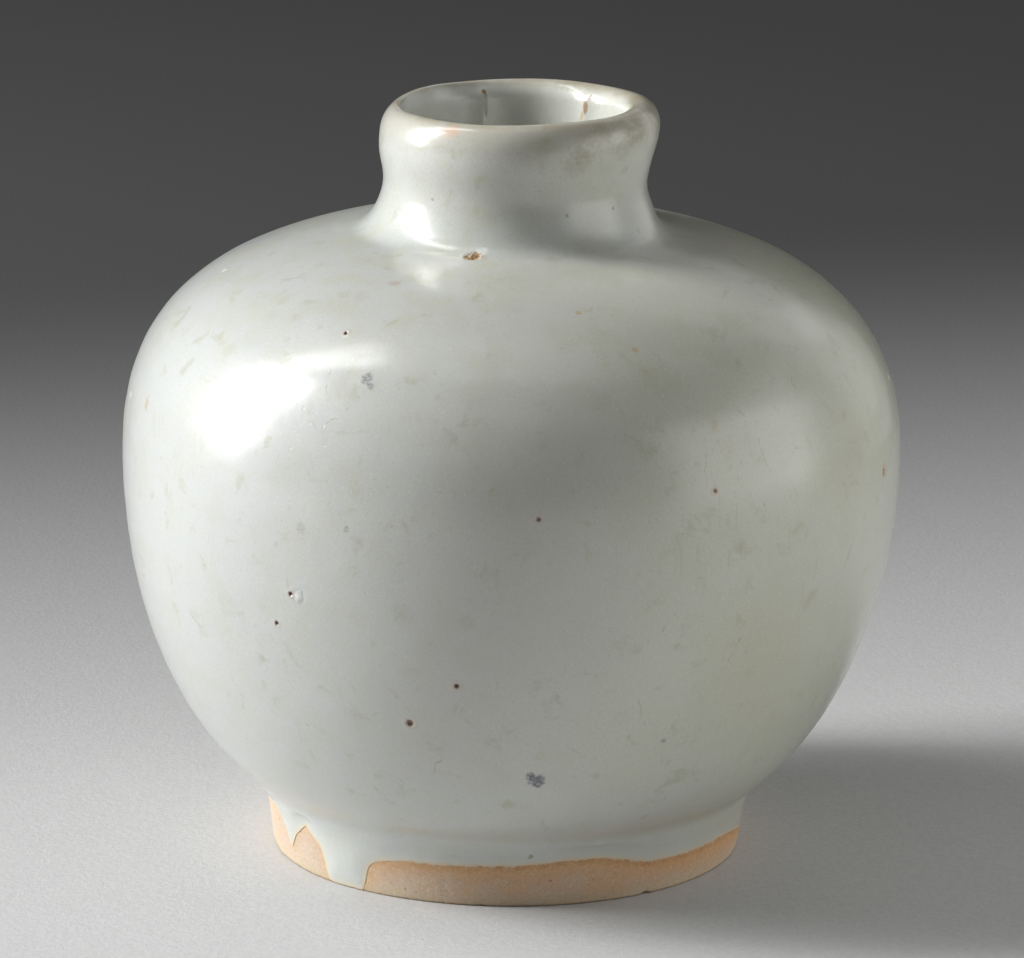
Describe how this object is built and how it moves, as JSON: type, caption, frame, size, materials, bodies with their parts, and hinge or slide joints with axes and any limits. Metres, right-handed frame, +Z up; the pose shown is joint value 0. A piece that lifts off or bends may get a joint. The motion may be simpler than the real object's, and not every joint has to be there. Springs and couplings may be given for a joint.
{
  "type": "stoneware vase",
  "caption": "Small globular stoneware jar-vase with a waisted neck, rolled lip and foot ring, pale glossy glaze over bare clay at the foot.",
  "frame": {"origin": "on the ground under the centre of the belly, at the middle of the bounding box's bottom face", "axes": "+Z up through the belly's centre, +X to the right in the picture, +Y away from the viewer"},
  "size_m": [0.1, 0.1, 0.0981],
  "materials": {
    "clay": "matt, gritty, orange-tan fired clay",
    "slip": "matt fired slip",
    "glaze": "glossy pale blue-green grey glaze"
  },
  "bodies": {
    "root": {"foot_ring": "clay", "foot_luting": "slip", "lower_body": "clay", "belly_luting": "slip", "upper_body": "clay", "neck_luting": "slip", "neck_collar": "clay", "outer_glaze": "glaze", "inner_glaze": "glaze"}
  },
  "joints": []
}
